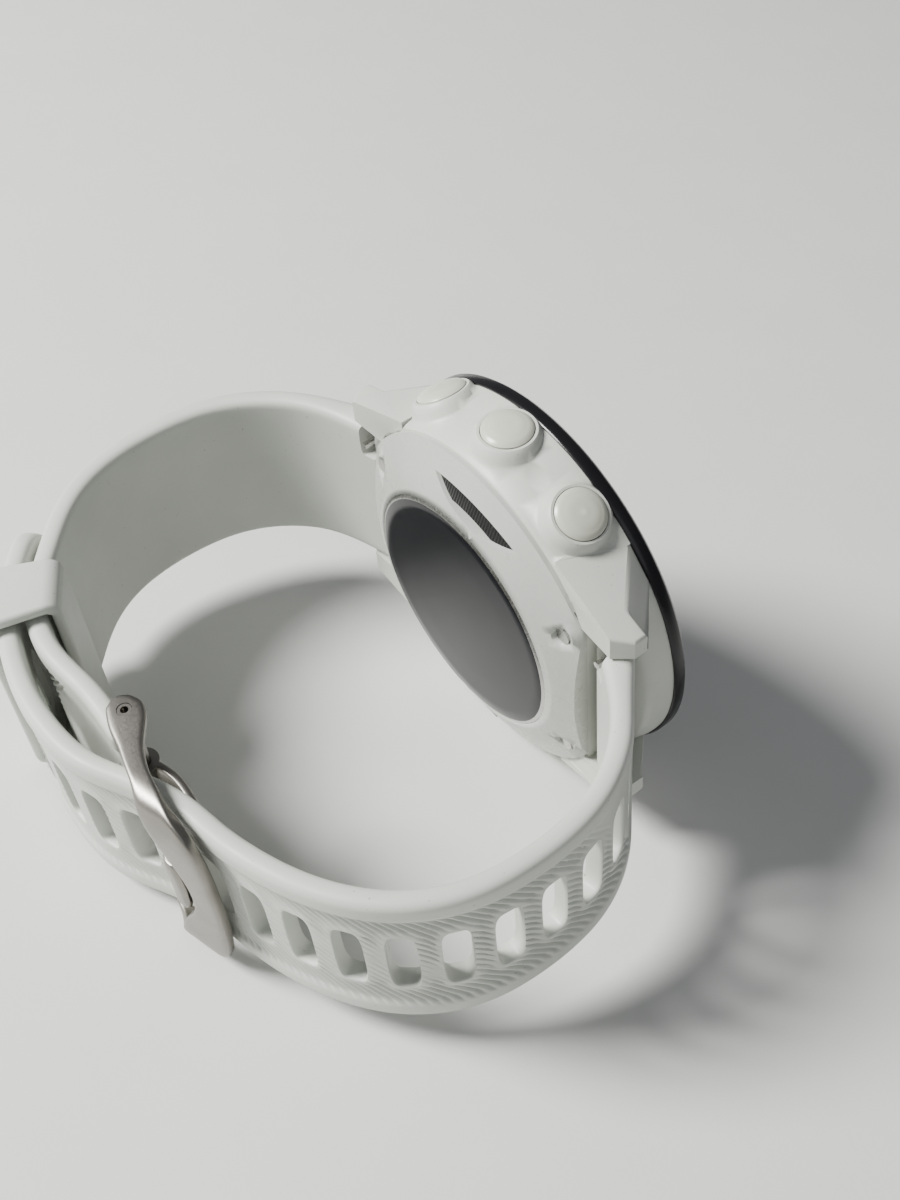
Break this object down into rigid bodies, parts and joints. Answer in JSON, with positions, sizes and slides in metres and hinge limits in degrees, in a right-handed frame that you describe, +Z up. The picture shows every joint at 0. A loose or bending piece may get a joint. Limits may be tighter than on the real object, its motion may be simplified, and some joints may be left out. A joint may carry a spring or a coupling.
{
  "type": "gps running watch",
  "caption": "Round white sports watch with a black bezel, side push buttons, back sensor and slotted silicone strap closed by a pin buckle and keeper.",
  "frame": {"origin": "centre of the footprint at floor level, the watch lying on its side as it stands on a table with the strap buckled", "axes": "+Z up; +Y runs to 12 o'clock along the dial; +X is the way the glass faces, which tips up from it by the rest angle of about 10 degrees"},
  "size_m": [0.0639, 0.0738, 0.0459],
  "materials": {
    "case_white": "fine matte moulded polymer, fibre reinforced",
    "cover_white": "satin moulded polymer",
    "button_white": "satin, slightly warm white",
    "bezel_black": "gloss black fibre-filled polymer",
    "front_glass": "chemically hardened cover glass, black-backed",
    "display_black": "switched-off display panel",
    "dark_polymer": "glass-filled black polymer",
    "board_green": "solder-masked circuit board",
    "cell_foil": "laminated pouch foil",
    "bright_metal": "bright stainless steel",
    "ceramic": "fired ceramic patch",
    "seal_rubber": "moulded black rubber",
    "sensor_black": "polished dark lens",
    "led_clear": "clear moulded emitters",
    "grille_black": "fine ribbed black grille",
    "gold_contact": "gold-plated pins",
    "strap_silicone": "matte white silicone with fine diagonal ribs",
    "buckle_steel": "bead-blasted satin stainless steel"
  },
  "bodies": {
    "case": {"case_body": "case_white", "bezel_ring": "bezel_black", "glass_lens": "front_glass", "lens_gasket": "seal_rubber", "display_module": "display_black", "chassis_pan": "dark_polymer", "main_board": "board_green", "battery": "cell_foil", "vibration_motor": "bright_metal", "gps_antenna": "ceramic", "side_switches": "dark_polymer", "sensor_board": "board_green", "sensor_leds": "led_clear", "back_cover": "cover_white", "back_seal": "seal_rubber", "sensor_window": "sensor_black", "back_screws": "bright_metal", "vent_grille": "grille_black", "contact_carrier": "dark_polymer", "charge_contacts": "gold_contact"},
    "light_button": {"light_button": "button_white", "light_button_seal": "seal_rubber", "light_button_clip": "bright_metal"},
    "up_button": {"up_button": "button_white", "up_button_seal": "seal_rubber", "up_button_clip": "bright_metal"},
    "down_button": {"down_button": "button_white", "down_button_seal": "seal_rubber", "down_button_clip": "bright_metal"},
    "start_button": {"start_button": "button_white", "start_button_seal": "seal_rubber", "start_button_clip": "bright_metal"},
    "back_button": {"back_button": "button_white", "back_button_seal": "seal_rubber", "back_button_clip": "bright_metal"},
    "short_strap": {"strap_short": "strap_silicone", "top_bar_tube": "bright_metal", "top_bar_fixed_tip": "bright_metal", "buckle_pin": "bright_metal"},
    "long_strap": {"strap_long": "strap_silicone", "bottom_bar_tube": "bright_metal", "bottom_bar_fixed_tip": "bright_metal"},
    "top_release": {"top_bar_release_tip": "bright_metal"},
    "bottom_release": {"bottom_bar_release_tip": "bright_metal"},
    "buckle": {"buckle_frame": "buckle_steel"},
    "tang": {"buckle_tang": "buckle_steel"},
    "keeper": {"keeper_loop": "strap_silicone"}
  },
  "joints": [
    {"name": "light_button_press", "type": "slide", "parent": "case", "child": "light_button", "axis": [0.1558, -0.5, -0.8519], "range_m": [0, 0.0005], "stiffness_N_per_m": 400, "springref_m": -0.0005},
    {"name": "up_button_press", "type": "slide", "parent": "case", "child": "up_button", "axis": [0.1799, 0, -0.9837], "range_m": [0, 0.0005], "stiffness_N_per_m": 400, "springref_m": -0.0005},
    {"name": "down_button_press", "type": "slide", "parent": "case", "child": "down_button", "axis": [0.1558, 0.5, -0.8519], "range_m": [0, 0.0005], "stiffness_N_per_m": 400, "springref_m": -0.0005},
    {"name": "start_button_press", "type": "slide", "parent": "case", "child": "start_button", "axis": [-0.1558, -0.5, 0.8519], "range_m": [0, 0.0005], "stiffness_N_per_m": 400, "springref_m": -0.0005},
    {"name": "back_button_press", "type": "slide", "parent": "case", "child": "back_button", "axis": [-0.1558, 0.5, 0.8519], "range_m": [0, 0.0005], "stiffness_N_per_m": 400, "springref_m": -0.0005},
    {"name": "short_strap_swing", "type": "hinge", "parent": "case", "child": "short_strap", "pos_m": [0.02024, 0.01888, 0.02164], "axis": [0.1799, 0, -0.9837], "range_deg": [-0.5, 0.5]},
    {"name": "long_strap_swing", "type": "hinge", "parent": "case", "child": "long_strap", "pos_m": [0.02024, -0.02192, 0.02164], "axis": [0.1799, 0, -0.9837], "range_deg": [-0.5, 0.5]},
    {"name": "top_release_slide", "type": "slide", "parent": "short_strap", "child": "top_release", "axis": [0.1799, 0, -0.9837], "range_m": [0, 0.0016], "stiffness_N_per_m": 150, "springref_m": -0.001},
    {"name": "bottom_release_slide", "type": "slide", "parent": "long_strap", "child": "bottom_release", "axis": [0.1799, 0, -0.9837], "range_m": [0, 0.0016], "stiffness_N_per_m": 150, "springref_m": -0.001},
    {"name": "buckle_hinge", "type": "hinge", "parent": "short_strap", "child": "buckle", "pos_m": [-0.02235, 0.00108, 0.01385], "axis": [0.1799, 0, -0.9837], "range_deg": [0, 75]},
    {"name": "tang_hinge", "type": "hinge", "parent": "short_strap", "child": "tang", "pos_m": [-0.02235, 0.00108, 0.01385], "axis": [0.1799, 0, -0.9837], "range_deg": [-1.5, 1.5]},
    {"name": "keeper_slide", "type": "slide", "parent": "short_strap", "child": "keeper", "axis": [0.514, 0.8526, 0.094], "range_m": [-0.0008, 0.0008]}
  ],
  "couplings": [
    {"joint": "long_strap_swing", "follows": "short_strap_swing", "ratio": 1}
  ]
}
